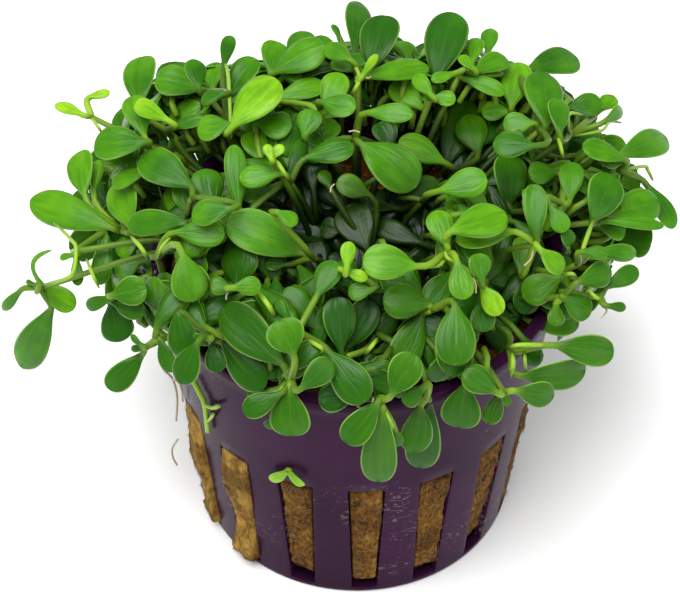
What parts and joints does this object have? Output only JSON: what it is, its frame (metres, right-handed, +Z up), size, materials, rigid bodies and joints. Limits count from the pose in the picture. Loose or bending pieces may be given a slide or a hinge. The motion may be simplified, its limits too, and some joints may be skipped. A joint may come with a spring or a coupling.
{
  "type": "potted mud mat",
  "caption": "Low bushy cushion of small creeping water-plant leaves growing over the rim of a slotted net pot filled with mineral wool.",
  "frame": {"origin": "centre of the flat underside of the pot", "axes": "+Z up along the pot's axis, -Y towards the side that is looked at, +X to the right of it"},
  "size_m": [0.0817, 0.0749, 0.0608],
  "materials": {
    "pot_plastic": "smooth, semi-gloss, dark aubergine",
    "wool": "matted mineral fibre, ochre to brown, matt",
    "leaf": "smooth living leaf, glossy, bright to deep green"
  },
  "bodies": {
    "root": {"net_pot": "pot_plastic", "rock_wool": "wool", "shoot_01": "leaf", "shoot_02": "leaf", "shoot_03": "leaf", "shoot_04": "leaf", "shoot_05": "leaf", "shoot_06": "leaf", "shoot_07": "leaf", "shoot_08": "leaf", "shoot_09": "leaf", "shoot_10": "leaf", "shoot_11": "leaf", "shoot_12": "leaf", "shoot_13": "leaf", "shoot_14": "leaf", "shoot_15": "leaf", "shoot_16": "leaf", "shoot_17": "leaf", "shoot_18": "leaf", "shoot_19": "leaf", "shoot_20": "leaf", "shoot_21": "leaf", "shoot_22": "leaf", "shoot_23": "leaf", "shoot_24": "leaf", "shoot_25": "leaf", "shoot_26": "leaf", "shoot_27": "leaf", "shoot_28": "leaf", "shoot_29": "leaf", "shoot_30": "leaf", "shoot_31": "leaf", "shoot_32": "leaf", "shoot_33": "leaf", "shoot_34": "leaf", "shoot_35": "leaf", "shoot_36": "leaf", "shoot_37": "leaf", "shoot_38": "leaf", "shoot_39": "leaf", "shoot_40": "leaf", "shoot_41": "leaf", "shoot_42": "leaf", "shoot_43": "leaf", "shoot_44": "leaf", "shoot_45": "leaf", "shoot_46": "leaf", "shoot_47": "leaf", "shoot_48": "leaf", "shoot_49": "leaf", "shoot_50": "leaf", "shoot_51": "leaf", "shoot_52": "leaf", "shoot_53": "leaf", "shoot_54": "leaf", "shoot_55": "leaf", "shoot_56": "leaf", "shoot_57": "leaf"}
  },
  "joints": []
}
